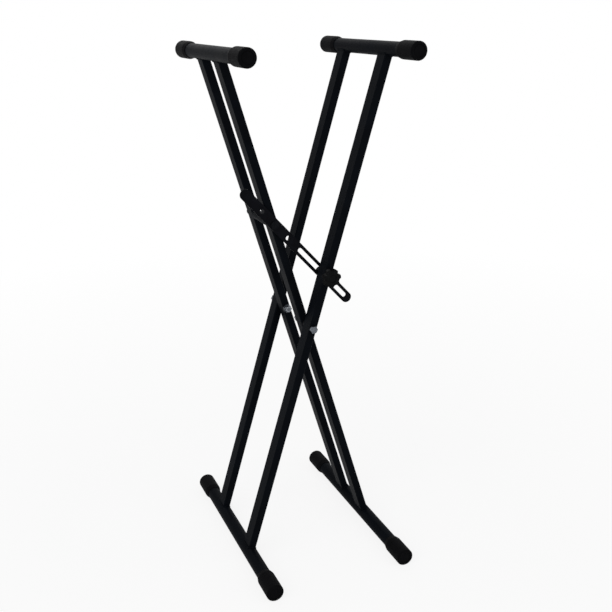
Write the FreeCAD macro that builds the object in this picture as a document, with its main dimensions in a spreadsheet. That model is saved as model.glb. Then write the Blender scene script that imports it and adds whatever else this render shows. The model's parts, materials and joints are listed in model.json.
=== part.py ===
"""Folding keyboard stand: two ladder frames crossed like scissors, held by a slotted strut.

Millimetres.  +Z is up, +X runs from the inner ladder's top bar to the outer ladder's, and -Y
is the front, where the clamp knob is.  The origin is on the floor, under the pivot axis and
midway along the bars.
"""
import FreeCAD, Part
import math
import os
import Sketcher
from FreeCAD import Placement, Rotation, Vector

doc = FreeCAD.newDocument("folding_keyboard_stand")

# ----------------------------------------------------------------- driving dimensions
DRIVING = [
    # the crossed ladders
    ("spread_angle", 33.4, "angle between the two ladders, as set up"),
    ("top_reach", 510.0, "pivot axis to top bar axis"),
    ("foot_reach", 475.0, "pivot axis to foot bar axis"),
    ("inner_span", 91.5, "inner ladder, arm middle to arm middle"),
    ("front_gap", 6.0, "between the two front arms, where the strut runs"),
    ("rear_gap", 3.0, "between the two rear arms"),
    ("arm_shift", 14.25, "the arms sit this far behind the bars' middle"),
    # arms: rectangular tube
    ("arm_wide", 15.0, "arm tube across the ladder's plane"),
    ("arm_deep", 30.0, "arm tube along the bars"),
    ("arm_wall", 1.5, "arm tube wall"),
    ("arm_corner", 2.5, "arm tube outer corner radius"),
    ("weld_gap", 0.1, "between an arm's coped end and its bar, filled by the weld"),
    # bars: round tube
    ("bar_wall", 1.5, "bar tube wall"),
    ("top_bar_wide", 25.0, "top bar diameter"),
    ("top_width", 354.0, "top bar over its caps"),
    ("foot_bar_wide", 27.0, "foot bar diameter"),
    ("foot_width", 430.0, "foot bar over its caps"),
    # rubber end caps
    ("top_cap_wide", 31.0, "top cap diameter"),
    ("foot_cap_wide", 34.0, "foot cap diameter"),
    ("cap_long", 58.0, "cap length over all"),
    ("cap_end", 3.0, "thickness of a cap's closed end"),
    ("cap_edge", 3.0, "rounding of a cap's closed end"),
    ("cap_taper", 9.0, "length of a cap's taper down to its bar"),
    ("cap_lip", 0.7, "wall left at a cap's open rim"),
    ("cap_fit", 0.1, "between a cap and its bar"),
    # fasteners
    ("bolt_wide", 8.0, "bolt shank diameter"),
    ("hole_fit", 0.1, "between a shank and its hole, per side"),
    ("thread_fit", 0.05, "between a shank and its nut or insert, per side"),
    ("turn_gap", 0.1, "between faces that turn on each other"),
    ("slide_gap", 0.3, "between faces that slide past each other"),
    ("hex_flats", 13.0, "bolt head and nut, across flats"),
    ("head_high", 5.3, "hex head height"),
    ("nut_high", 6.2, "hex part of a lock nut"),
    ("collar_high", 1.9, "collar of a lock nut"),
    ("collar_wide", 11.6, "collar diameter"),
    ("bolt_tail", 2.0, "thread beyond a nut"),
    ("thread_bevel", 0.8, "bevel at a thread's end"),
    ("washer_wide", 16.0, "flat washer diameter"),
    ("washer_thick", 1.6, "flat washer thickness"),
    ("spacer_wide", 12.0, "pivot spacer diameter"),
    ("sleeve_wide", 11.5, "sleeve inside an arm, diameter"),
    ("sleeve_fit", 0.1, "between a sleeve's end and the arm's wall"),
    # slotted strut and the long bolt that it swings on
    ("strut_bolt_reach", 205.0, "pivot axis to strut bolt, up the inner front arm"),
    ("clamp_reach", 103.5, "pivot axis to clamp bolt, up the outer front arm"),
    ("strut_wide", 20.0, "strut width"),
    ("strut_thick", 2.0, "strut thickness"),
    ("strut_offset", 2.0, "inner front arm's face to the strut"),
    ("strut_hole_wide", 8.4, "round holes in the strut"),
    ("strut_bolt_at", 80.0, "strut's upper end centre to the hole that it swings on"),
    ("strut_pitch", 36.0, "from that hole to the spare hole on either side"),
    ("slot_wide", 8.4, "slot width"),
    ("slot_start_at", 150.5, "strut's upper end centre to the slot's first end centre"),
    ("slot_end_at", 283.0, "strut's upper end centre to the slot's last end centre"),
    ("strut_end_at", 290.5, "strut's upper end centre to its lower end centre"),
    ("low_head_wide", 16.0, "strut bolt's flat head, diameter"),
    ("low_head_high", 1.6, "strut bolt's flat head, height"),
    ("cross_tube_wide", 18.0, "cross tube round that bolt between the inner arms, diameter"),
    ("cross_tube_wall", 2.0, "cross tube wall"),
    ("barrel_wide", 11.0, "barrel nut's barrel, diameter"),
    ("barrel_flange_wide", 16.0, "barrel nut's flange behind the inner rear arm, diameter"),
    ("barrel_flange_thick", 1.6, "barrel nut's flange, thickness"),
    ("barrel_grip", 22.0, "length of the strut bolt inside the barrel nut"),
    # clamp
    ("clamp_head_wide", 18.0, "clamp bolt's head behind the strut, diameter"),
    ("clamp_head_high", 1.4, "clamp bolt's head, height"),
    ("knob_wide", 35.0, "star knob over its lobes"),
    ("knob_hub_wide", 19.0, "hub diameter"),
    ("knob_hub_high", 6.0, "hub height, below the lobes"),
    ("knob_lobe_high", 13.0, "height of the lobes"),
    ("knob_edge", 3.0, "rounding of the lobes"),
    ("knob_dish_wide", 15.0, "shallow dish in the front, diameter"),
    ("knob_dish_deep", 1.2, "depth of that dish"),
    ("scallop_wide", 10.5, "diameter of the scallops between lobes"),
    ("scallop_reach", 18.6, "knob axis to a scallop's axis"),
    ("insert_wide", 12.0, "threaded insert diameter"),
    ("insert_deep", 13.0, "threaded insert length"),
    ("stud_end_gap", 2.0, "insert's bottom to the stud's end"),
]
KNOB_LOBES = 7

# Lengths that follow from the driving ones.
WORKED = [
    ("arm_bore_wide", "=Sizes.arm_wide - 2 * Sizes.arm_wall"),
    ("arm_bore_deep", "=Sizes.arm_deep - 2 * Sizes.arm_wall"),
    ("arm_bore_corner", "=Sizes.arm_corner - Sizes.arm_wall"),
    ("arm_long", "=Sizes.top_reach + Sizes.foot_reach"),
    ("top_bar_long", "=Sizes.top_width - 2 * Sizes.cap_end"),
    ("foot_bar_long", "=Sizes.foot_width - 2 * Sizes.cap_end"),
    ("top_cope", "=Sizes.top_bar_wide / 2 + Sizes.weld_gap"),
    ("foot_cope", "=Sizes.foot_bar_wide / 2 + Sizes.weld_gap"),
    ("top_bar_radius", "=Sizes.top_bar_wide / 2"),
    ("top_bar_bore", "=Sizes.top_bar_wide / 2 - Sizes.bar_wall"),
    ("foot_bar_radius", "=Sizes.foot_bar_wide / 2"),
    ("foot_bar_bore", "=Sizes.foot_bar_wide / 2 - Sizes.bar_wall"),
    ("cap_straight", "=Sizes.cap_long - Sizes.cap_taper"),
    ("top_cap_radius", "=Sizes.top_cap_wide / 2"),
    ("top_cap_rim", "=Sizes.top_bar_wide / 2 + Sizes.cap_fit + Sizes.cap_lip"),
    ("top_cap_bore", "=Sizes.top_bar_wide / 2 + Sizes.cap_fit"),
    ("foot_cap_radius", "=Sizes.foot_cap_wide / 2"),
    ("foot_cap_rim", "=Sizes.foot_bar_wide / 2 + Sizes.cap_fit + Sizes.cap_lip"),
    ("foot_cap_bore", "=Sizes.foot_bar_wide / 2 + Sizes.cap_fit"),
    ("shank", "=Sizes.bolt_wide / 2"),
    ("hole", "=Sizes.bolt_wide / 2 + Sizes.hole_fit"),
    ("thread", "=Sizes.bolt_wide / 2 + Sizes.thread_fit"),
    ("hex_corner", "=Sizes.hex_flats / 2 / cos(30)"),
    ("hex_inner", "=Sizes.hex_flats / 2"),
    ("head_shoulder", "=Sizes.head_high - (Worked.hex_corner - Worked.hex_inner) * tan(30)"),
    ("nut_shoulder", "=Sizes.nut_high - (Worked.hex_corner - Worked.hex_inner) * tan(30)"),
    ("nut_total", "=Sizes.nut_high + Sizes.collar_high"),
    ("collar", "=Sizes.collar_wide / 2"),
    ("collar_bevel", "=Sizes.collar_high / 2"),
    ("washer", "=Sizes.washer_wide / 2"),
    ("spacer", "=Sizes.spacer_wide / 2"),
    ("sleeve", "=Sizes.sleeve_wide / 2"),
    ("sleeve_long", "=Sizes.arm_deep - 2 * Sizes.arm_wall - 2 * Sizes.sleeve_fit"),
    ("front_spacer_long", "=Sizes.front_gap - 2 * Sizes.turn_gap"),
    ("rear_spacer_long", "=Sizes.rear_gap - 2 * Sizes.turn_gap"),
    ("strut_spacer_long", "=Sizes.strut_offset - 2 * Sizes.turn_gap"),
    ("pivot_seat", "=Sizes.turn_gap + Sizes.washer_thick"),
    ("front_shank", "=2 * Sizes.arm_deep + Sizes.front_gap + Sizes.turn_gap + Worked.pivot_seat"
                    " + Worked.nut_total + Sizes.bolt_tail"),
    ("rear_shank", "=2 * Sizes.arm_deep + Sizes.rear_gap + Sizes.turn_gap + Worked.pivot_seat"
                   " + Worked.nut_total + Sizes.bolt_tail"),
    ("strut_shank", "=Sizes.turn_gap + Sizes.strut_thick + Sizes.strut_offset"
                    " + Sizes.inner_span + Sizes.barrel_grip"),
    ("cross_tube", "=Sizes.cross_tube_wide / 2"),
    ("cross_bore", "=Sizes.cross_tube_wide / 2 - Sizes.cross_tube_wall"),
    ("cross_tube_long", "=Sizes.inner_span - Sizes.arm_deep - 2 * Sizes.weld_gap"),
    ("barrel", "=Sizes.barrel_wide / 2"),
    ("barrel_hole", "=Sizes.barrel_wide / 2 + Sizes.hole_fit"),
    ("barrel_flange", "=Sizes.barrel_flange_wide / 2"),
    ("barrel_long", "=Sizes.arm_deep + Sizes.turn_gap"),
    ("barrel_total", "=Worked.barrel_long + Sizes.barrel_flange_thick"),
    ("strut_half", "=Sizes.strut_wide / 2"),
    ("strut_hole", "=Sizes.strut_hole_wide / 2"),
    ("slot_half", "=Sizes.slot_wide / 2"),
    ("upper_hole_at", "=Sizes.strut_bolt_at - Sizes.strut_pitch"),
    ("lower_hole_at", "=Sizes.strut_bolt_at + Sizes.strut_pitch"),
    ("low_head", "=Sizes.low_head_wide / 2"),
    ("clamp_head", "=Sizes.clamp_head_wide / 2"),
    ("clamp_spacer_long", "=Sizes.front_gap - Sizes.strut_offset - Sizes.strut_thick"
                          " - Sizes.slide_gap"),
    ("clamp_shank", "=Worked.clamp_spacer_long + Sizes.arm_deep + Sizes.washer_thick"
                    " + Sizes.turn_gap + Sizes.insert_deep - Sizes.stud_end_gap"),
    ("knob_radius", "=Sizes.knob_wide / 2"),
    ("knob_hub", "=Sizes.knob_hub_wide / 2"),
    ("knob_high", "=Sizes.knob_hub_high + Sizes.knob_lobe_high"),
    ("knob_dish", "=Sizes.knob_dish_wide / 2"),
    ("knob_dish_floor", "=Worked.knob_high - Sizes.knob_dish_deep"),
    ("scallop", "=Sizes.scallop_wide / 2"),
    ("insert", "=Sizes.insert_wide / 2"),
]

sizes = doc.addObject("Spreadsheet::Sheet", "Sizes")
worked = doc.addObject("Spreadsheet::Sheet", "Worked")
SHEET_OF = {}
for row, (alias, value, meaning) in enumerate(DRIVING, start=1):
    sizes.set(f"A{row}", meaning)
    sizes.set(f"B{row}", str(value))
    sizes.setAlias(f"B{row}", alias)
    SHEET_OF[alias] = sizes
doc.recompute()
for row, (alias, formula) in enumerate(WORKED, start=1):
    worked.setAlias(f"B{row}", alias)
    SHEET_OF[alias] = worked
for row, (alias, formula) in enumerate(WORKED, start=1):
    worked.set(f"B{row}", formula)
doc.recompute()


def mm(alias):
    """The number in a cell."""
    return float(SHEET_OF[alias].get(alias))


def cell(alias):
    """The cell's name, as an expression writes it."""
    return f"{SHEET_OF[alias].Name}.{alias}"


# ----------------------------------------------------------------- sketch helpers
def bind(sketch, constraint, alias):
    """Add a constraint whose value is a cell."""
    index = sketch.addConstraint(constraint)
    sketch.setExpression(f"Constraints[{index}]", cell(alias))


def place_point(sketch, geometry, point, across, along):
    """Fix a point by two cells measured from the sketch's origin; None stands for zero."""
    if across:
        bind(sketch, Sketcher.Constraint("DistanceX", -1, 1, geometry, point, mm(across)), across)
    else:
        sketch.addConstraint(Sketcher.Constraint("PointOnObject", geometry, point, -2))
    if along:
        bind(sketch, Sketcher.Constraint("DistanceY", -1, 1, geometry, point, mm(along)), along)
    else:
        sketch.addConstraint(Sketcher.Constraint("PointOnObject", geometry, point, -1))


def circle(sketch, radius, across=None, along=None):
    centre = Vector(mm(across) if across else 0, mm(along) if along else 0, 0)
    geometry = sketch.addGeometry(Part.Circle(centre, Vector(0, 0, 1), mm(radius)))
    place_point(sketch, geometry, 3, across, along)
    bind(sketch, Sketcher.Constraint("Radius", geometry, mm(radius)), radius)


def polygon(sketch, corners):
    """Closed outline; each corner is a pair of cells, None standing for zero."""
    points = [Vector(mm(a) if a else 0, mm(b) if b else 0, 0) for a, b in corners]
    sides = []
    for start, end in zip(points, points[1:] + points[:1]):
        sides.append(sketch.addGeometry(Part.LineSegment(start, end)))
    for side, following in zip(sides, sides[1:] + sides[:1]):
        sketch.addConstraint(Sketcher.Constraint("Coincident", side, 2, following, 1))
    for side, (across, along) in zip(sides, corners):
        place_point(sketch, side, 1, across, along)


def hexagon(sketch, corner_radius):
    radius = mm(corner_radius)
    points = [Vector(radius * math.cos(k * math.pi / 3), radius * math.sin(k * math.pi / 3), 0)
              for k in range(6)]
    ring = sketch.addGeometry(Part.Circle(Vector(0, 0, 0), Vector(0, 0, 1), radius), True)
    sketch.addConstraint(Sketcher.Constraint("Coincident", ring, 3, -1, 1))
    bind(sketch, Sketcher.Constraint("Radius", ring, radius), corner_radius)
    sides = []
    for start, end in zip(points, points[1:] + points[:1]):
        sides.append(sketch.addGeometry(Part.LineSegment(start, end)))
    for side, following in zip(sides, sides[1:] + sides[:1]):
        sketch.addConstraint(Sketcher.Constraint("Coincident", side, 2, following, 1))
    for side in sides:
        sketch.addConstraint(Sketcher.Constraint("PointOnObject", side, 1, ring))
    for side in sides[1:]:
        sketch.addConstraint(Sketcher.Constraint("Equal", sides[0], side))
    sketch.addConstraint(Sketcher.Constraint("PointOnObject", sides[0], 1, -1))


def rounded_rectangle(sketch, wide, deep, corner):
    """Centred on the origin, wide along the sketch's X and deep along its Y."""
    radius = mm(corner)
    x, y = mm(wide) / 2 - radius, mm(deep) / 2 - radius
    arcs = []
    for k, (cx, cy) in enumerate([(x, -y), (x, y), (-x, y), (-x, -y)]):
        start = math.pi / 2 * (k - 1)
        round_corner = Part.Circle(Vector(cx, cy, 0), Vector(0, 0, 1), radius)
        arcs.append(sketch.addGeometry(Part.ArcOfCircle(round_corner, start, start + math.pi / 2)))
    lines = []
    for arc, following in zip(arcs, arcs[1:] + arcs[:1]):
        side = Part.LineSegment(sketch.Geometry[arc].EndPoint, sketch.Geometry[following].StartPoint)
        lines.append(sketch.addGeometry(side))
    for arc, line, following in zip(arcs, lines, arcs[1:] + arcs[:1]):
        sketch.addConstraint(Sketcher.Constraint("Tangent", arc, 2, line, 1))
        sketch.addConstraint(Sketcher.Constraint("Tangent", line, 2, following, 1))
    for line in lines[0::2]:
        sketch.addConstraint(Sketcher.Constraint("Vertical", line))
    for line in lines[1::2]:
        sketch.addConstraint(Sketcher.Constraint("Horizontal", line))
    for arc in arcs[1:]:
        sketch.addConstraint(Sketcher.Constraint("Equal", arcs[0], arc))
    sketch.addConstraint(Sketcher.Constraint("Symmetric", arcs[0], 3, arcs[2], 3, -1, 1))
    bind(sketch, Sketcher.Constraint("Radius", arcs[0], radius), corner)
    bind(sketch, Sketcher.Constraint("DistanceX", lines[2], 1, lines[0], 1, mm(wide)), wide)
    bind(sketch, Sketcher.Constraint("DistanceY", lines[3], 1, lines[1], 1, mm(deep)), deep)


def stadium(sketch, half_wide, start, end):
    """Round-ended outline on the sketch's X axis, between the centres of its two ends."""
    radius, x1, x2 = mm(half_wide), mm(start) if start else 0, mm(end)
    left = Part.Circle(Vector(x1, 0, 0), Vector(0, 0, 1), radius)
    right = Part.Circle(Vector(x2, 0, 0), Vector(0, 0, 1), radius)
    a = sketch.addGeometry(Part.ArcOfCircle(left, math.pi / 2, 3 * math.pi / 2))
    b = sketch.addGeometry(Part.LineSegment(Vector(x1, -radius, 0), Vector(x2, -radius, 0)))
    c = sketch.addGeometry(Part.ArcOfCircle(right, -math.pi / 2, math.pi / 2))
    d = sketch.addGeometry(Part.LineSegment(Vector(x2, radius, 0), Vector(x1, radius, 0)))
    for one, other in ((a, b), (b, c), (c, d), (d, a)):
        sketch.addConstraint(Sketcher.Constraint("Tangent", one, 2, other, 1))
    sketch.addConstraint(Sketcher.Constraint("Equal", a, c))
    place_point(sketch, a, 3, start, None)
    place_point(sketch, c, 3, end, None)
    bind(sketch, Sketcher.Constraint("Radius", a, radius), half_wide)


# ----------------------------------------------------------------- solid helpers
def new_body(label):
    body = doc.addObject("PartDesign::Body", label)
    body.Label = label
    return body


def sketch_on(body, role, name):
    """A sketch on one of the body's own origin planes."""
    plane = [feature for feature in body.Origin.OriginFeatures if feature.Role == role][0]
    sketch = body.newObject("Sketcher::SketchObject", f"{body.Label}_{name}")
    sketch.AttachmentSupport = (plane, [""])
    sketch.MapMode = "FlatFace"
    return sketch


def pad(body, sketch, length, downwards=False):
    feature = body.newObject("PartDesign::Pad", f"{sketch.Name}_pad")
    feature.Profile = sketch
    feature.setExpression("Length", cell(length))
    feature.Reversed = downwards
    sketch.Visibility = False
    return feature


def cut_through(body, sketch):
    """Cut a sketch right through, both ways."""
    feature = body.newObject("PartDesign::Pocket", f"{sketch.Name}_cut")
    feature.Profile = sketch
    feature.Type = "ThroughAll"
    feature.Midplane = True
    sketch.Visibility = False
    return feature


def turn(body, sketch, kind="PartDesign::Revolution"):
    """Turn a sketch about the body's own Z axis, to add a solid or to cut a groove."""
    feature = body.newObject(kind, f"{sketch.Name}_turn")
    feature.Profile = sketch
    feature.ReferenceAxis = (sketch, ["V_Axis"])
    feature.Angle = 360.0
    sketch.Visibility = False
    return feature


def rim_edges(feature, radius, height):
    """Names of the round edges of one radius at one height above the body's XY plane."""
    doc.recompute()
    names = []
    for index, edge in enumerate(feature.Shape.Edges, start=1):
        curve = edge.Curve
        if isinstance(curve, Part.Circle) and abs(curve.Radius - radius) < 1e-4:
            if abs(curve.Center.z - height) < 1e-4:
                names.append(f"Edge{index}")
    if not names:
        raise ValueError(f"{feature.Name}: no rim of radius {radius} at {height}")
    return names


def soften(body, base, radius, height, alias, kind="PartDesign::Fillet"):
    """Fillet or chamfer one rim by a cell's amount."""
    edges = rim_edges(base, radius, height)
    feature = body.newObject(kind, f"{base.Name}_soft")
    feature.Base = (base, edges)
    feature.setExpression("Radius" if kind.endswith("Fillet") else "Size", cell(alias))
    return feature


def turned(label, corners):
    """A body turned about Z from an outline of (radius, height) corners."""
    body = new_body(label)
    outline = sketch_on(body, "XZ_Plane", "outline")
    polygon(outline, corners)
    return body, turn(body, outline)


def ring(label, outer, inner, length):
    """A plain tube or washer standing on the body's XY plane."""
    body = new_body(label)
    section = sketch_on(body, "XY_Plane", "section")
    circle(section, outer)
    circle(section, inner)
    pad(body, section, length)
    return body


def bevel_hex(body, shoulder, height):
    """Turn the corners off a hexagon between two heights."""
    corner = sketch_on(body, "XZ_Plane", "corner")
    polygon(corner, [("hex_inner", height), ("hex_corner", shoulder), ("hex_corner", height)])
    return turn(body, corner, "PartDesign::Groove")


# ----------------------------------------------------------------- where things are
HALF_ANGLE = mm("spread_angle") / 2
PIVOT_HIGH = mm("foot_cap_radius") + mm("foot_reach") * math.cos(math.radians(HALF_ANGLE))
INNER, OUTER = -1, 1
TO_FRONT = Rotation(Vector(1, 0, 0), 90)
TO_REAR = Rotation(Vector(1, 0, 0), -90)

INNER_FRONT = mm("arm_shift") - mm("inner_span") / 2
INNER_REAR = mm("arm_shift") + mm("inner_span") / 2
OUTER_FRONT = INNER_FRONT - mm("arm_deep") - mm("front_gap")
OUTER_REAR = INNER_REAR + mm("arm_deep") + mm("rear_gap")
HALF_DEEP = mm("arm_deep") / 2
STRUT_FACE = INNER_FRONT - HALF_DEEP - mm("strut_offset")


def on_ladder(side, y, reach, turned_to=Rotation()):
    """A place on a ladder's middle plane, a given reach up (or down) from the pivot."""
    ladder = Placement(Vector(0, 0, PIVOT_HIGH), Rotation(Vector(0, 1, 0), side * HALF_ANGLE))
    return ladder.multiply(Placement(Vector(0, y, reach), turned_to))


# ----------------------------------------------------------------- pieces
def arm(label, side, y, holes):
    """Rectangular tube, coped at both ends to sit on the round bars, drilled for its bolts.

    Each hole is a pair of cells: its radius, and its reach from the pivot.
    """
    body = new_body(label)
    section = sketch_on(body, "XY_Plane", "section")
    section.setExpression("AttachmentOffset.Base.z", f"-{cell('foot_reach')}")
    rounded_rectangle(section, "arm_wide", "arm_deep", "arm_corner")
    rounded_rectangle(section, "arm_bore_wide", "arm_bore_deep", "arm_bore_corner")
    pad(body, section, "arm_long")
    copes = sketch_on(body, "XZ_Plane", "copes")
    circle(copes, "top_cope", None, "top_reach")
    foot = copes.addGeometry(Part.Circle(Vector(0, -mm("foot_reach"), 0), Vector(0, 0, 1),
                                         mm("foot_cope")))
    copes.addConstraint(Sketcher.Constraint("PointOnObject", foot, 3, -2))
    bind(copes, Sketcher.Constraint("DistanceY", foot, 3, -1, 1, mm("foot_reach")), "foot_reach")
    bind(copes, Sketcher.Constraint("Radius", foot, mm("foot_cope")), "foot_cope")
    cut_through(body, copes)
    drilled = sketch_on(body, "XZ_Plane", "holes")
    for radius, reach in holes:
        circle(drilled, radius, None, reach)
    cut_through(body, drilled)
    body.Placement = on_ladder(side, y, 0)


def bar(label, side, end, reach):
    """Round tube across a ladder's arms; end is "top" or "foot"."""
    body = ring(label, f"{end}_bar_radius", f"{end}_bar_bore", f"{end}_bar_long")
    body.Placement = on_ladder(side, -mm(f"{end}_bar_long") / 2, reach, TO_REAR)


def cap(label, side, end, reach, facing):
    """Rubber cap over a bar's end: closed, rounded end and tapered open rim."""
    body, shell = turned(label, [
        (None, None), (f"{end}_cap_radius", None), (f"{end}_cap_radius", "cap_straight"),
        (f"{end}_cap_rim", "cap_long"), (f"{end}_cap_bore", "cap_long"),
        (f"{end}_cap_bore", "cap_end"), (None, "cap_end")])
    soften(body, shell, mm(f"{end}_cap_radius"), 0, "cap_edge")
    outwards = mm(f"{end}_bar_long") / 2 + mm("cap_end")
    y = -outwards if facing == "front" else outwards
    body.Placement = on_ladder(side, y, reach, TO_REAR if facing == "front" else TO_FRONT)


def ladder(name, side, front, rear, front_holes, rear_holes):
    """Two arms, two bars, four caps and the sleeves that keep the arms from crushing."""
    arm(f"{name}_front_arm", side, front, [("hole", None)] + front_holes)
    arm(f"{name}_rear_arm", side, rear, [("hole", None)] + rear_holes)
    for end, reach in (("top", mm("top_reach")), ("foot", -mm("foot_reach"))):
        bar(f"{name}_{end}_bar", side, end, reach)
        for facing in ("front", "rear"):
            cap(f"{name}_{end}_{facing}_cap", side, end, reach, facing)
    sleeve(f"{name}_front_pivot_sleeve", side, front, 0)
    sleeve(f"{name}_rear_pivot_sleeve", side, rear, 0)


def sleeve(label, side, y, reach):
    """Tube between an arm's walls, round a bolt."""
    body = ring(label, "sleeve", "hole", "sleeve_long")
    body.Placement = on_ladder(side, y - mm("sleeve_long") / 2, reach, TO_REAR)


def hex_bolt(label, shank_long, placement):
    """Head above the body's XY plane, shank below it."""
    body = new_body(label)
    head = sketch_on(body, "XY_Plane", "head")
    hexagon(head, "hex_corner")
    pad(body, head, "head_high")
    bevel_hex(body, "head_shoulder", "head_high")
    shank = sketch_on(body, "XY_Plane", "shank")
    circle(shank, "shank")
    solid = pad(body, shank, shank_long, downwards=True)
    soften(body, solid, mm("shank"), -mm(shank_long), "thread_bevel", "PartDesign::Chamfer")
    body.Placement = placement


def round_bolt(label, head_radius, head_high, shank_long, placement):
    """Low round head above the body's XY plane, shank below it."""
    body = new_body(label)
    head = sketch_on(body, "XY_Plane", "head")
    circle(head, head_radius)
    pad(body, head, head_high)
    shank = sketch_on(body, "XY_Plane", "shank")
    circle(shank, "shank")
    solid = pad(body, shank, shank_long, downwards=True)
    soften(body, solid, mm("shank"), -mm(shank_long), "thread_bevel", "PartDesign::Chamfer")
    body.Placement = placement


def lock_nut(label, placement):
    """Hexagon with the round collar that holds the nylon ring, seat on the XY plane."""
    body = new_body(label)
    hexed = sketch_on(body, "XY_Plane", "hexagon")
    hexagon(hexed, "hex_corner")
    circle(hexed, "thread")
    pad(body, hexed, "nut_high")
    bevel_hex(body, "nut_shoulder", "nut_high")
    collar = sketch_on(body, "XY_Plane", "collar")
    circle(collar, "collar")
    circle(collar, "thread")
    solid = pad(body, collar, "nut_total")
    soften(body, solid, mm("collar"), mm("nut_total"), "collar_bevel", "PartDesign::Chamfer")
    body.Placement = placement


def pivot(name, outer_y, inner_y, outwards, shank_long, spacer_long):
    """One side's pivot: head outside the outer arm, lock nut inside the inner arm."""
    facing_out = TO_FRONT if outwards < 0 else TO_REAR
    facing_in = TO_REAR if outwards < 0 else TO_FRONT
    outer_face = outer_y + outwards * HALF_DEEP
    inner_face = inner_y - outwards * HALF_DEEP

    def at(y, rotation):
        return Placement(Vector(0, y, PIVOT_HIGH), rotation)

    hex_bolt(f"{name}_pivot_bolt", shank_long, at(outer_face + outwards * mm("turn_gap"),
                                                  facing_out))
    lock_nut(f"{name}_pivot_nut", at(inner_face - outwards * mm("pivot_seat"), facing_in))
    body = ring(f"{name}_pivot_washer", "washer", "hole", "washer_thick")
    body.Placement = at(inner_face - outwards * mm("turn_gap"), facing_in)
    body = ring(f"{name}_pivot_spacer", "spacer", "hole", spacer_long)
    body.Placement = at(inner_y + outwards * (HALF_DEEP + mm("turn_gap")), facing_out)


def strut():
    """Flat bar with three round holes and a long slot, swinging on the inner front arm."""
    body = new_body("strut")
    outline = sketch_on(body, "XY_Plane", "outline")
    stadium(outline, "strut_half", None, "strut_end_at")
    stadium(outline, "slot_half", "slot_start_at", "slot_end_at")
    for hole_at in ("upper_hole_at", "strut_bolt_at", "lower_hole_at"):
        circle(outline, "strut_hole", hole_at)
    pad(body, outline, "strut_thick")
    swing = on_ladder(INNER, STRUT_FACE, mm("strut_bolt_reach")).Base
    clamp = on_ladder(OUTER, STRUT_FACE, mm("clamp_reach")).Base
    slope = math.degrees(math.atan2(swing.z - clamp.z, clamp.x - swing.x))
    along = Rotation(Vector(0, 1, 0), slope).multiply(TO_FRONT)
    first_end = Placement(Vector(-mm("strut_bolt_at"), 0, 0), Rotation())
    body.Placement = Placement(swing, along).multiply(first_end)


def strut_fasteners():
    """The long bolt that the strut swings on, through both inner arms and their cross tube."""
    reach = mm("strut_bolt_reach")
    front_face = INNER_FRONT - HALF_DEEP
    rear_face = INNER_REAR + HALF_DEEP
    head_seat = STRUT_FACE - mm("strut_thick") - mm("turn_gap")
    round_bolt("strut_bolt", "low_head", "low_head_high", "strut_shank",
               on_ladder(INNER, head_seat, reach, TO_FRONT))
    spacer = ring("strut_spacer", "washer", "hole", "strut_spacer_long")
    spacer.Placement = on_ladder(INNER, front_face - mm("turn_gap"), reach, TO_FRONT)
    sleeve("strut_bolt_sleeve", INNER, INNER_FRONT, reach)
    tube = ring("inner_cross_tube", "cross_tube", "cross_bore", "cross_tube_long")
    tube_front = INNER_FRONT + HALF_DEEP + mm("weld_gap")
    tube.Placement = on_ladder(INNER, tube_front, reach, TO_REAR)
    nut, _ = turned("strut_barrel_nut", [
        ("thread", None), ("barrel", None), ("barrel", "barrel_long"),
        ("barrel_flange", "barrel_long"), ("barrel_flange", "barrel_total"),
        (None, "barrel_total"), (None, "barrel_long"), ("thread", "barrel_long")])
    barrel_end = rear_face + mm("turn_gap") - mm("barrel_long")
    nut.Placement = on_ladder(INNER, barrel_end, reach, TO_REAR)


def clamp():
    """Clamp bolt through the slot and the outer front arm, drawn up by the star knob.

    The bolt's neck is left out where it crosses the slot, so that the strut can be posed.
    """
    reach = mm("clamp_reach")
    front_face = OUTER_FRONT - HALF_DEEP
    rear_face = OUTER_FRONT + HALF_DEEP
    head = new_body("clamp_bolt_head")
    disc = sketch_on(head, "XY_Plane", "disc")
    circle(disc, "clamp_head")
    pad(head, disc, "clamp_head_high")
    head.Placement = on_ladder(OUTER, STRUT_FACE + mm("slide_gap"), reach, TO_REAR)
    spacer = ring("clamp_spacer", "washer", "hole", "clamp_spacer_long")
    spacer.Placement = on_ladder(OUTER, rear_face, reach, TO_REAR)
    stud = new_body("clamp_stud")
    section = sketch_on(stud, "XY_Plane", "section")
    circle(section, "shank")
    solid = pad(stud, section, "clamp_shank")
    soften(stud, solid, mm("shank"), mm("clamp_shank"), "thread_bevel", "PartDesign::Chamfer")
    stud.Placement = on_ladder(OUTER, rear_face + mm("clamp_spacer_long"), reach, TO_FRONT)
    sleeve("clamp_sleeve", OUTER, OUTER_FRONT, reach)
    washer = ring("clamp_washer", "washer", "hole", "washer_thick")
    washer.Placement = on_ladder(OUTER, front_face, reach, TO_FRONT)
    knob_seat = front_face - mm("washer_thick") - mm("turn_gap")
    star_knob(on_ladder(OUTER, knob_seat, reach, TO_FRONT))
    insert = ring("clamp_insert", "insert", "thread", "insert_deep")
    insert.Placement = on_ladder(OUTER, knob_seat, reach, TO_FRONT)


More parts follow.
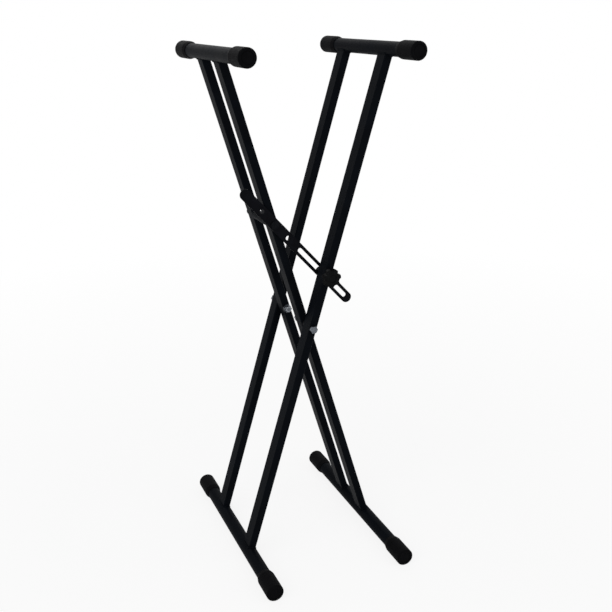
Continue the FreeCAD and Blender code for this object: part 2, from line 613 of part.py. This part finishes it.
def star_knob(placement):
    """Moulded knob: round hub, lobed head with rounded edges, dished front, blind bore."""
    body, blank = turned("clamp_knob", [
        ("insert", None), ("knob_hub", None), ("knob_hub", "knob_hub_high"),
        ("knob_radius", "knob_hub_high"), ("knob_radius", "knob_high"),
        ("knob_dish", "knob_high"), ("knob_dish", "knob_dish_floor"), (None, "knob_dish_floor"),
        (None, "insert_deep"), ("insert", "insert_deep")])
    rounded = soften(body, blank, mm("knob_radius"), mm("knob_high"), "knob_edge")
    soften(body, rounded, mm("knob_radius"), mm("knob_hub_high"), "knob_edge")
    scallop = sketch_on(body, "XY_Plane", "scallop")
    circle(scallop, "scallop", "scallop_reach")
    bite = cut_through(body, scallop)
    pattern = body.newObject("PartDesign::PolarPattern", "clamp_knob_lobes")
    pattern.Originals = [bite]
    pattern.Axis = (scallop, ["N_Axis"])
    pattern.Angle = 360.0
    pattern.Occurrences = KNOB_LOBES
    body.Tip = pattern
    body.Placement = placement


ladder("inner", INNER, INNER_FRONT, INNER_REAR, [("hole", "strut_bolt_reach")],
       [("barrel_hole", "strut_bolt_reach")])
ladder("outer", OUTER, OUTER_FRONT, OUTER_REAR, [("hole", "clamp_reach")], [])
pivot("front", OUTER_FRONT, INNER_FRONT, -1, "front_shank", "front_spacer_long")
pivot("rear", OUTER_REAR, INNER_REAR, 1, "rear_shank", "rear_spacer_long")
strut()
strut_fasteners()
clamp()

# ----------------------------------------------------------------- check and write
doc.recompute()
for thing in doc.Objects:
    if "Invalid" in thing.State or "Error" in thing.State:
        raise ValueError(f"{thing.Label} failed: {thing.State}")
os.makedirs("parts", exist_ok=True)
for piece in doc.Objects:
    if piece.TypeId != "PartDesign::Body":
        continue
    shape = piece.Shape
    if shape.isNull() or not shape.isValid() or len(shape.Solids) != 1:
        raise ValueError(f"{piece.Label} is not one good solid")
    shape.exportStep(f"parts/{piece.Label}.step")
    print(f"{piece.Label}: {shape.Volume:.0f} mm3")
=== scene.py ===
"""Looks of the folding keyboard stand: satin black tube, rubber caps, slotted strut, star knob."""
import json
import math

import bmesh
import bpy
from mathutils import Matrix, Vector


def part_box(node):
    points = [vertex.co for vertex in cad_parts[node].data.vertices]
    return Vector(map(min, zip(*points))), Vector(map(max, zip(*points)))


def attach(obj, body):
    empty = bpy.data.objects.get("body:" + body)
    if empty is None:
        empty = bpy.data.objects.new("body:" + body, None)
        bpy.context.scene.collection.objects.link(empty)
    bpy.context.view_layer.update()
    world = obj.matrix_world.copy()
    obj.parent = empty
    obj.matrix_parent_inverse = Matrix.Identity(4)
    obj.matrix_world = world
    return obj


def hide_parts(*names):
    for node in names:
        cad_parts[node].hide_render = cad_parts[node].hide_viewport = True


MM = 0.001
ALONG = Vector((0, 1, 0))  # along the bars of both ladders
SHARP_FROM = 32  # degrees between two faces whose shared edge stays sharp
EASED_FROM = 28  # degrees between two faces whose shared edge is rounded

# The weld bead round an arm's end, in millimetres.
ARM_WIDE, ARM_DEEP, ARM_CORNER = 15.0, 30.0, 2.5
BEAD_OFF_ARM, BEAD_OFF_BAR = 0.3, 0.25
BEAD_RADIUS, BEAD_STEP = 1.5, 0.75
RIPPLE_LONG, RIPPLE_LOW, RIPPLE_RISE = 2.3, 0.86, 0.2

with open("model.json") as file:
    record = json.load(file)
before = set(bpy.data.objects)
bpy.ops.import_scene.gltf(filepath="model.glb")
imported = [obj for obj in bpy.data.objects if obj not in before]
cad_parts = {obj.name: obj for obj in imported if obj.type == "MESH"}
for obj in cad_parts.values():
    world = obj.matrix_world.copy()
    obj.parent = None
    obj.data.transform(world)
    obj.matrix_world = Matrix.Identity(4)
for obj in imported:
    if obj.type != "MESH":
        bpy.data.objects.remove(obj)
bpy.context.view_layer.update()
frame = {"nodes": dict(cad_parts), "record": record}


# ----------------------------------------------------------------- materials
def hex_colour(code):
    """sRGB hex to the linear colour that a shader reads."""
    parts = [int(code[i:i + 2], 16) / 255 for i in (1, 3, 5)]
    return tuple([p / 12.92 if p < 0.04045 else ((p + 0.055) / 1.055) ** 2.4 for p in parts] + [1])


def node(material, kind, sockets=None, stops=(), **settings):
    """Add a shader node; sockets take a value or the output that feeds them.

    Stops are the (place, linear colour) pairs of a colour ramp.
    """
    tree = material.node_tree
    made = tree.nodes.new(kind)
    for name, value in settings.items():
        setattr(made, name, value)
    while stops and len(made.color_ramp.elements) < len(stops):
        made.color_ramp.elements.new(0.5)
    for number, (place, colour) in enumerate(stops):
        made.color_ramp.elements[number].position = place
        made.color_ramp.elements[number].color = colour
    for name, value in (sockets or {}).items():
        if isinstance(value, bpy.types.NodeSocket):
            tree.links.new(value, made.inputs[name])
        else:
            made.inputs[name].default_value = value
    return made


def new_material(name):
    """Material with an empty node tree."""
    material = bpy.data.materials.new(name)
    material.use_nodes = True
    material.node_tree.nodes.clear()
    return material


def grey(value):
    """Linear colour of a plain grey, also a plain number in a ramp."""
    return (value, value, value, 1)


def per_mm(size):
    """Noise scale whose features are about this many millimetres across."""
    return 1 / (size * MM)


def satin_powder_coat():
    """Black powder coat on steel tube: baked on, so it has a fine orange peel and a soft sheen."""
    material = new_material("satin black powder coat")
    place = node(material, "ShaderNodeTexCoord").outputs["Object"]
    peel = node(material, "ShaderNodeTexNoise",
                {"Vector": place, "Scale": per_mm(1.6), "Detail": 2.0, "Roughness": 0.45})
    film = node(material, "ShaderNodeTexNoise",
                {"Vector": place, "Scale": per_mm(45), "Detail": 3.0, "Roughness": 0.6})
    # Dust caught in the film is finer than this, and is drawn coarse enough to show.
    dust = node(material, "ShaderNodeTexNoise",
                {"Vector": place, "Scale": per_mm(2.4), "Detail": 5.0, "Roughness": 0.75})
    colour = node(material, "ShaderNodeValToRGB", {"Fac": film.outputs["Fac"]},
                  [(0.3, hex_colour("#090b0f")), (0.7, hex_colour("#0d1015"))])
    specks = node(material, "ShaderNodeValToRGB", {"Fac": dust.outputs["Fac"]},
                  [(0.66, grey(0)), (0.78, grey(1))])
    mixed = node(material, "ShaderNodeMix",
                 {"Factor": specks.outputs["Color"], "A": colour.outputs["Color"],
                  "B": hex_colour("#191b20")}, data_type="RGBA")
    gloss = node(material, "ShaderNodeValToRGB", {"Fac": film.outputs["Fac"]},
                 [(0.25, grey(0.42)), (0.75, grey(0.52))])
    bump = node(material, "ShaderNodeBump",
                {"Height": peel.outputs["Fac"], "Strength": 0.16, "Distance": 0.12 * MM})
    shader = node(material, "ShaderNodeBsdfPrincipled",
                  {"Base Color": mixed.outputs["Result"], "Roughness": gloss.outputs["Color"],
                   "Normal": bump.outputs["Normal"], "IOR": 1.5, "Specular IOR Level": 0.012})
    node(material, "ShaderNodeOutputMaterial", {"Surface": shader.outputs["BSDF"]})
    return material


def satin_enamel_strip():
    """Black enamel on flat strip: thinner than powder coat, with rolled-steel streaks under it."""
    material = new_material("satin black enamel on strip")
    place = node(material, "ShaderNodeTexCoord").outputs["Object"]
    rolled = node(material, "ShaderNodeMapping",
                  {"Vector": place, "Rotation": (0, math.radians(-42.4), 0),
                   "Scale": (0.06, 1, 1)})
    # The real streaks, along the strip, are finer, and are drawn wide enough to show.
    streaks = node(material, "ShaderNodeTexNoise",
                   {"Vector": rolled.outputs["Vector"], "Scale": per_mm(1.2), "Detail": 3.0,
                    "Roughness": 0.6})
    film = node(material, "ShaderNodeTexNoise",
                {"Vector": place, "Scale": per_mm(18), "Detail": 3.0, "Roughness": 0.6})
    colour = node(material, "ShaderNodeValToRGB", {"Fac": film.outputs["Fac"]},
                  [(0.3, hex_colour("#0b0b0e")), (0.72, hex_colour("#121318"))])
    gloss = node(material, "ShaderNodeValToRGB", {"Fac": streaks.outputs["Fac"]},
                 [(0.3, grey(0.34)), (0.7, grey(0.5))])
    bump = node(material, "ShaderNodeBump",
                {"Height": streaks.outputs["Fac"], "Strength": 0.12, "Distance": 0.08 * MM})
    shader = node(material, "ShaderNodeBsdfPrincipled",
                  {"Base Color": colour.outputs["Color"], "Roughness": gloss.outputs["Color"],
                   "Normal": bump.outputs["Normal"], "IOR": 1.5, "Specular IOR Level": 0.022})
    node(material, "ShaderNodeOutputMaterial", {"Surface": shader.outputs["BSDF"]})
    return material


def moulded_rubber():
    """Black rubber from a blasted mould: matt, with a fine grain and a faint grey bloom."""
    material = new_material("moulded black rubber")
    place = node(material, "ShaderNodeTexCoord").outputs["Object"]
    # The mould's real grain is finer, and is drawn coarse enough to show.
    grain = node(material, "ShaderNodeTexNoise",
                 {"Vector": place, "Scale": per_mm(0.9), "Detail": 2.0, "Roughness": 0.6})
    bloom = node(material, "ShaderNodeTexNoise",
                 {"Vector": place, "Scale": per_mm(14), "Detail": 4.0, "Roughness": 0.65})
    colour = node(material, "ShaderNodeValToRGB", {"Fac": bloom.outputs["Fac"]},
                  [(0.35, hex_colour("#08080a")), (0.75, hex_colour("#0e0e10"))])
    gloss = node(material, "ShaderNodeValToRGB", {"Fac": bloom.outputs["Fac"]},
                 [(0.3, grey(0.56)), (0.8, grey(0.72))])
    bump = node(material, "ShaderNodeBump",
                {"Height": grain.outputs["Fac"], "Strength": 0.25, "Distance": 0.1 * MM})
    shader = node(material, "ShaderNodeBsdfPrincipled",
                  {"Base Color": colour.outputs["Color"], "Roughness": gloss.outputs["Color"],
                   "Normal": bump.outputs["Normal"], "IOR": 1.52, "Specular IOR Level": 0.02})
    node(material, "ShaderNodeOutputMaterial", {"Surface": shader.outputs["BSDF"]})
    return material


def moulded_nylon(name, dark, light):
    """Nylon from a spark-eroded mould: an even, fine, slightly shiny grain."""
    material = new_material(name)
    place = node(material, "ShaderNodeTexCoord").outputs["Object"]
    # The mould's real grain is finer, and is drawn coarse enough to show.
    grain = node(material, "ShaderNodeTexVoronoi", {"Vector": place, "Scale": per_mm(0.55)})
    flow = node(material, "ShaderNodeTexNoise",
                {"Vector": place, "Scale": per_mm(9), "Detail": 2.0})
    colour = node(material, "ShaderNodeValToRGB", {"Fac": flow.outputs["Fac"]},
                  [(0.3, hex_colour(dark)), (0.7, hex_colour(light))])
    gloss = node(material, "ShaderNodeValToRGB", {"Fac": flow.outputs["Fac"]},
                 [(0.3, grey(0.42)), (0.7, grey(0.54))])
    bump = node(material, "ShaderNodeBump",
                {"Height": grain.outputs["Distance"], "Strength": 0.22, "Distance": 0.06 * MM})
    shader = node(material, "ShaderNodeBsdfPrincipled",
                  {"Base Color": colour.outputs["Color"], "Roughness": gloss.outputs["Color"],
                   "Normal": bump.outputs["Normal"], "IOR": 1.53, "Specular IOR Level": 0.022})
    node(material, "ShaderNodeOutputMaterial", {"Surface": shader.outputs["BSDF"]})
    return material


def metal(name, dark, light, spot, bright, dull, blotch):
    """Plated, oxidised or turned metal: cloudy in blotches, with fine handling scratches."""
    material = new_material(name)
    place = node(material, "ShaderNodeTexCoord").outputs["Object"]
    cloud = node(material, "ShaderNodeTexNoise",
                 {"Vector": place, "Scale": per_mm(blotch), "Detail": 4.0, "Roughness": 0.7})
    handled = node(material, "ShaderNodeMapping",
                   {"Vector": place, "Rotation": (0.3, 0.9, 0.2), "Scale": (1, 0.08, 1)})
    # Real scratches are thinner, and are drawn wide enough to show.
    scratch = node(material, "ShaderNodeTexNoise",
                   {"Vector": handled.outputs["Vector"], "Scale": per_mm(0.5), "Detail": 2.0,
                    "Roughness": 0.7})
    colour = node(material, "ShaderNodeValToRGB", {"Fac": cloud.outputs["Fac"]},
                  [(0.25, hex_colour(spot)), (0.45, hex_colour(dark)), (0.75, hex_colour(light))])
    gloss = node(material, "ShaderNodeValToRGB", {"Fac": cloud.outputs["Fac"]},
                 [(0.3, grey(dull)), (0.7, grey(bright))])
    bump = node(material, "ShaderNodeBump",
                {"Height": scratch.outputs["Fac"], "Strength": 0.1, "Distance": 0.03 * MM})
    shader = node(material, "ShaderNodeBsdfPrincipled",
                  {"Base Color": colour.outputs["Color"], "Roughness": gloss.outputs["Color"],
                   "Metallic": 1.0, "Normal": bump.outputs["Normal"]})
    node(material, "ShaderNodeOutputMaterial", {"Surface": shader.outputs["BSDF"]})
    return material


powder_coat = satin_powder_coat()
strip_enamel = satin_enamel_strip()
rubber = moulded_rubber()
# Glass-filled and dyed through: nearly black, with a weak shine on the lobes.
knob_nylon = moulded_nylon("moulded black nylon", dark="#0c0c0d", light="#131415")
# Unfilled nylon for spacers: a little greyer than the knob.
spacer_nylon = moulded_nylon("black nylon washer stock", dark="#141415", light="#1c1c1e")
# Undyed nylon that grips a lock nut's thread: milky white.
ring_nylon = moulded_nylon("natural nylon ring", dark="#c9cdd2", light="#dfe3e6")
# Plated in a barrel: bluish and bright, darker where the parts lay together.
zinc = metal("bright zinc plate on steel", dark="#54585e", light="#8a8f95", spot="#2e3135",
             bright=0.2, dull=0.34, blotch=2.6)
# Dipped hot and oiled: almost as dark as the paint, with a duller shine than zinc.
black_oxide = metal("black oxide on steel", dark="#121316", light="#1a1b1e", spot="#0e0e10",
                    bright=0.34, dull=0.48, blotch=3.0)
# Turned from rod: yellow, with brown where it has tarnished.
brass = metal("turned brass", dark="#b08d45", light="#cfae66", spot="#8d6c33",
              bright=0.22, dull=0.34, blotch=2.5)
FINISHES = {"frame_paint": powder_coat, "strut_paint": strip_enamel, "cap_rubber": rubber,
            "knob_plastic": knob_nylon, "spacer_nylon": spacer_nylon, "zinc_steel": zinc,
            "black_steel": black_oxide, "insert_brass": brass}


# ----------------------------------------------------------------- placing and finishing pieces
slot_of = {part["node"]: part["material_slot"] for part in frame["record"]["subparts"]}
body_of = {name: body for body, names in frame["record"]["behaviour"]["bodies"].items()
           for name in names}


def middle(name):
    """Middle of a node's box."""
    low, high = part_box(name)
    return (low + high) / 2


def half_size(name):
    """Half of a node's box, along each axis."""
    low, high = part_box(name)
    return (high - low) / 2


def finish(name, mesh, material, body, stands_for=None, sharp_from=SHARP_FROM):
    """Turn a mesh, already in place, into a piece that rides on a body."""
    mesh.shade_smooth()
    mesh.set_sharp_from_angle(angle=math.radians(sharp_from))
    mesh.materials.clear()
    mesh.materials.append(material)
    piece = bpy.data.objects.new(name, mesh)
    bpy.context.scene.collection.objects.link(piece)
    flat_first = piece.modifiers.new("flat faces stay flat", "WEIGHTED_NORMAL")
    flat_first.keep_sharp = True
    flat_first.weight = 100
    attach(piece, body)
    if stands_for:
        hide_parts(stands_for)
    return piece


def to_mesh(work, name):
    """Mesh of a bmesh, which is then let go."""
    mesh = bpy.data.meshes.new(name)
    work.to_mesh(mesh)
    work.free()
    return mesh


def ease(work, width, eased_from):
    """Round every edge sharper than an angle, by a width in millimetres."""
    edges = [edge for edge in work.edges
             if edge.is_manifold and edge.calc_face_angle(0) > math.radians(eased_from)]
    bmesh.ops.bevel(work, geom=edges, offset=width * MM, offset_type="OFFSET", affect="EDGES",
                    segments=2, profile=0.5, material=-1, clamp_overlap=True)


def dressed(name, edge=None, eased_from=EASED_FROM):
    """Smooth copy of a part's mesh, its sharp edges eased by edge mm, that stands for the part."""
    work = bmesh.new()
    work.from_mesh(frame["nodes"][name].data)
    bmesh.ops.remove_doubles(work, verts=work.verts, dist=2e-6)
    if edge:
        bmesh.ops.dissolve_limit(work, angle_limit=math.radians(0.5), verts=work.verts,
                                 edges=work.edges)
        ease(work, edge, eased_from)
    mesh = to_mesh(work, name + "_finished")
    slot = slot_of[name]
    return finish(name + "_finished", mesh, FINISHES[slot], body_of[name], name)


def revolved(profile, steps=72):
    """Closed shell turned about Z from (radius, height) points in millimetres."""
    work = bmesh.new()
    points = [work.verts.new((r * MM, 0, z * MM)) for r, z in profile]
    edges = [work.edges.new(pair) for pair in zip(points, points[1:])]
    bmesh.ops.spin(work, geom=points + edges, cent=(0, 0, 0), axis=(0, 0, 1),
                   angle=math.tau, steps=steps, use_merge=True, use_duplicate=False)
    bmesh.ops.remove_doubles(work, verts=work.verts, dist=1e-6)
    bmesh.ops.recalc_face_normals(work, faces=work.faces)
    return work


def rounded(centre, radius, start, end, steps=6):
    """Points of an arc in a profile, angles in degrees."""
    angles = [math.radians(start + (end - start) * k / steps) for k in range(steps + 1)]
    return [(centre[0] + radius * math.cos(a), centre[1] + radius * math.sin(a)) for a in angles]


# ----------------------------------------------------------------- rubber caps
def rubber_cap(name, bar):
    """Cap with a rounded, slightly dished end, a soft shoulder and a thin open rim."""
    low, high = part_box(name)
    facing = -1 if middle(name).y < 0 else 1
    outer = half_size(name).z / MM
    long = (high.y - low.y) / MM
    edge, wall, fit, lip, slant = 3.0, 3.0, 0.1, 0.7, 0.3
    bore = half_size(bar).z / MM + fit
    brim, brim_round, dish_deep, dish_rise, dish_foot = 2.2, 0.6, 0.9, 1.2, 0.8
    dish = outer - edge - brim
    taper, taper_start, shoulder_round, rim_round = 9.0, 2.0, 6.0, 0.35
    shoulder = long - taper - taper_start
    profile = [(0, dish_deep), (dish - dish_rise, dish_deep)]
    profile += rounded((dish - dish_rise, dish_deep + dish_foot), dish_foot, -90, -35, 3)
    profile += [(dish, 0.35)]
    profile += rounded((dish + 0.9, brim_round), brim_round, -140, -90, 2)
    profile += rounded((outer - edge, edge), edge, -90, 0, 8)
    profile += [(outer, shoulder)]
    profile += rounded((outer - shoulder_round, shoulder), shoulder_round, 4, 17, 4)
    profile += [(bore + lip + slant, long - 2 * rim_round)]
    profile += rounded((bore + lip - slant, long - rim_round), rim_round, 20, 90, 3)
    profile += [(bore, long), (bore, wall), (0, wall)]
    work = revolved(profile, 80)
    place = Matrix.Translation((middle(name).x, high.y if facing > 0 else low.y, middle(name).z))
    turn = Matrix.Rotation(math.radians(90 if facing > 0 else -90), 4, "X")
    bmesh.ops.transform(work, matrix=place @ turn, verts=work.verts)
    finish(name + "_moulded", to_mesh(work, name + "_moulded"), rubber, body_of[name],
           name, sharp_from=40)


# ----------------------------------------------------------------- weld beads
def arm_outline(wide, deep, corner, step):
    """Points in order round a rectangular tube's section, in millimetres."""
    work = bmesh.new()
    bmesh.ops.create_grid(work, x_segments=1, y_segments=1, size=0.5)
    bmesh.ops.scale(work, vec=(wide, deep, 1), verts=work.verts)
    bmesh.ops.bevel(work, geom=work.verts[:], offset=corner, affect="VERTICES", segments=4,
                    profile=0.5, material=-1)
    for edge in [e for e in work.edges if e.calc_length() > 2 * step]:
        bmesh.ops.subdivide_edges(work, edges=[edge], cuts=round(edge.calc_length() / step) - 1)
    points = [loop.vert.co.copy() for loop in work.faces[:][0].loops]
    work.free()
    return points


def weld_bead(name, arm, bar, ladder_up):
    """Bead round an arm's coped end where it meets its round bar, laid in small ripples."""
    radius = half_size(bar).z / MM
    away = ladder_up if middle(bar).z < middle(arm).z else -ladder_up
    across = ALONG.cross(away)
    points = arm_outline(ARM_WIDE + 2 * BEAD_OFF_ARM, ARM_DEEP + 2 * BEAD_OFF_ARM,
                         ARM_CORNER + BEAD_OFF_ARM, BEAD_STEP)
    curve = bpy.data.curves.new(name, "CURVE")
    curve.dimensions = "3D"
    curve.bevel_depth = BEAD_RADIUS * MM
    curve.bevel_resolution = 2
    curve.use_fill_caps = False
    line = curve.splines.new("POLY")
    line.points.add(len(points) - 1)
    line.use_cyclic_u = True
    centre = Vector((middle(bar).x, middle(arm).y, middle(bar).z))
    for number, point in enumerate(points):
        rise = math.sqrt(radius ** 2 - point.x ** 2) + BEAD_OFF_BAR
        spot = centre + (across * point.x + ALONG * point.y + away * rise) * MM
        ripple = abs(math.sin(number * BEAD_STEP * math.pi / RIPPLE_LONG))
        line.points[number].co = (*spot, 1)
        line.points[number].radius = RIPPLE_LOW + RIPPLE_RISE * ripple
    strung = bpy.data.objects.new(name + "_line", curve)
    bpy.context.scene.collection.objects.link(strung)
    bpy.context.view_layer.update()
    mesh = bpy.data.meshes.new_from_object(strung)
    bpy.data.objects.remove(strung)
    mesh.name = name
    finish(name, mesh, powder_coat, body_of[arm], sharp_from=60)


# ----------------------------------------------------------------- lock nuts' rings
def nylon_ring(name, nut):
    """The nylon ring at the end of a lock nut's collar, a little proud of the steel.

    The collar is at the nut's end away from its washer.
    """
    inside, outside, wall_high, high = 4.15, 5.0, 0.12, 0.22
    work = revolved([(inside, 0), (outside, 0), (outside, wall_high), (outside - 0.2, high),
                     (inside + 0.15, high), (inside, wall_high), (inside, 0)], 48)
    near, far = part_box(nut)
    facing = 1 if middle(nut.replace("_nut", "_washer")).y < middle(nut).y else -1
    place = Matrix.Translation((middle(nut).x, far.y if facing > 0 else near.y, middle(nut).z))
    turn = Matrix.Rotation(math.radians(-90 * facing), 4, "X")
    bmesh.ops.transform(work, matrix=place @ turn, verts=work.verts)
    finish(name, to_mesh(work, name), ring_nylon, body_of[nut])


# ----------------------------------------------------------------- the stand
for side in ("inner", "outer"):
    up = middle(f"{side}_top_bar") - middle(f"{side}_foot_bar")
    up.y = 0
    up.normalize()
    for level in ("top", "foot"):
        dressed(f"{side}_{level}_bar")
        for end in ("front", "rear"):
            rubber_cap(f"{side}_{level}_{end}_cap", f"{side}_{level}_bar")
            weld_bead(f"{side}_{level}_{end}_weld", f"{side}_{end}_arm", f"{side}_{level}_bar", up)
    for end in ("front", "rear"):
        dressed(f"{side}_{end}_arm")

dressed("strut", edge=0.35)
for washer in ("front_pivot_washer", "rear_pivot_washer", "clamp_washer"):
    dressed(washer, edge=0.2)
for spacer in ("front_pivot_spacer", "rear_pivot_spacer", "strut_spacer", "clamp_spacer"):
    dressed(spacer, edge=0.15)
dressed("inner_cross_tube")
for bolt in ("front_pivot_bolt", "rear_pivot_bolt", "strut_bolt", "clamp_bolt_head"):
    dressed(bolt, edge=0.18)
dressed("strut_barrel_nut", edge=0.3)
for nut in ("front_pivot_nut", "rear_pivot_nut"):
    dressed(nut, edge=0.15)
    nylon_ring(nut.replace("nut", "nut_ring"), nut)
dressed("clamp_knob", edge=0.6, eased_from=35)
dressed("clamp_stud")

# Every node of the frame gets its material too, hidden or not.
for name, part in frame["nodes"].items():
    part.data.materials.clear()
    part.data.materials.append(FINISHES[slot_of[name]])


# ----------------------------------------------------------------- floor, light and camera
def seen_rays(ground):
    """1 where the ground is seen, straight, mirrored or through something, and else 0."""
    ray = node(ground, "ShaderNodeLightPath")
    direct = node(ground, "ShaderNodeMath",
                  {0: ray.outputs["Is Camera Ray"], 1: ray.outputs["Is Glossy Ray"]},
                  operation="MAXIMUM")
    both = node(ground, "ShaderNodeMath",
                {0: direct.outputs[0], 1: ray.outputs["Is Transmission Ray"]},
                operation="MAXIMUM")
    return both.outputs[0]


def pale_floor():
    """Pale floor that keeps the stand's shadow near it and runs out into the white ground."""
    material = new_material("pale studio floor")
    place = node(material, "ShaderNodeTexCoord").outputs["Object"]
    away = node(material, "ShaderNodeVectorMath", {0: place}, operation="LENGTH")
    # Mostly plain white within 0.5 m of the stand's middle, and wholly so from 2.2 m out.
    far = node(material, "ShaderNodeMapRange",
               {"Value": away.outputs["Value"], "From Min": 0.5, "From Max": 2.2,
                "To Min": 0.86, "To Max": 1.0})
    share = node(material, "ShaderNodeMath",
                 {0: seen_rays(material), 1: far.outputs["Result"]}, operation="MULTIPLY")
    matt = node(material, "ShaderNodeBsdfDiffuse", {"Color": grey(0.86), "Roughness": 0.5})
    white = node(material, "ShaderNodeEmission", {"Color": grey(1.0), "Strength": 1.0})
    both = node(material, "ShaderNodeMixShader", {0: share.outputs[0], 1: matt.outputs[0],
                                                  2: white.outputs[0]})
    node(material, "ShaderNodeOutputMaterial", {"Surface": both.outputs[0]})
    return material


work = bmesh.new()
bmesh.ops.create_circle(work, cap_ends=True, segments=96, radius=30.0)
floor_mesh = to_mesh(work, "floor")
floor_mesh.materials.append(pale_floor())
floor = bpy.data.objects.new("floor", floor_mesh)
bpy.context.scene.collection.objects.link(floor)

world = bpy.data.worlds.new("studio")
bpy.context.scene.world = world
world.use_nodes = True
world.node_tree.nodes.clear()
# White where it is seen, and dimmer as the light that falls on the stand.
level = node(world, "ShaderNodeMapRange",
             {"Value": seen_rays(world), "To Min": 0.55, "To Max": 1.0})
sky = node(world, "ShaderNodeBackground", {"Color": grey(1.0), "Strength": level.outputs[0]})
node(world, "ShaderNodeOutputWorld", {"Surface": sky.outputs[0]})


def area_light(name, place, aim, size, power):
    """Square lamp at a place, turned to an aim; metres and watts."""
    lamp = bpy.data.lights.new(name, "AREA")
    lamp.shape = "SQUARE"
    lamp.size = size
    lamp.energy = power
    held = bpy.data.objects.new(name, lamp)
    held.location = place
    held.rotation_euler = (Vector(aim) - Vector(place)).to_track_quat("-Z", "Y").to_euler()
    bpy.context.scene.collection.objects.link(held)


area_light("key", (-2.8, -1.8, 3.0), aim=(0, 0, 0.5), size=3.6, power=46)
area_light("fill", (2.6, -2.6, 1.8), aim=(0, 0, 0.5), size=3.0, power=18)
area_light("back", (0.6, 3.0, 2.8), aim=(0, 0, 0.6), size=3.0, power=22)

# Camera at the photograph's viewpoint: yaw, pitch and roll about its own place.
yaw, pitch, roll = 0.3723, 0.3602, -0.0197
view_camera = bpy.data.cameras.new("view")
view_camera.sensor_width = 36
view_camera.lens = 49.24
view_camera.shift_x = 0.0469
view_camera.shift_y = 0.0253
view_camera.clip_start = 0.05
view_camera.clip_end = 80
ahead = Vector((math.sin(yaw) * math.cos(pitch), math.cos(yaw) * math.cos(pitch),
                -math.sin(pitch)))
right = Vector((math.cos(yaw), -math.sin(yaw), 0))
above = right.cross(ahead)
level_x = right * math.cos(roll) + above * math.sin(roll)
level_y = above * math.cos(roll) - right * math.sin(roll)
camera = bpy.data.objects.new("camera", view_camera)
camera.matrix_world = (Matrix.Translation((-0.5859, -1.4013, 1.0317))
                       @ Matrix((level_x, level_y, -ahead)).transposed().to_4x4())
bpy.context.scene.collection.objects.link(camera)
bpy.context.scene.camera = camera
bpy.context.scene.view_settings.view_transform = "Standard"
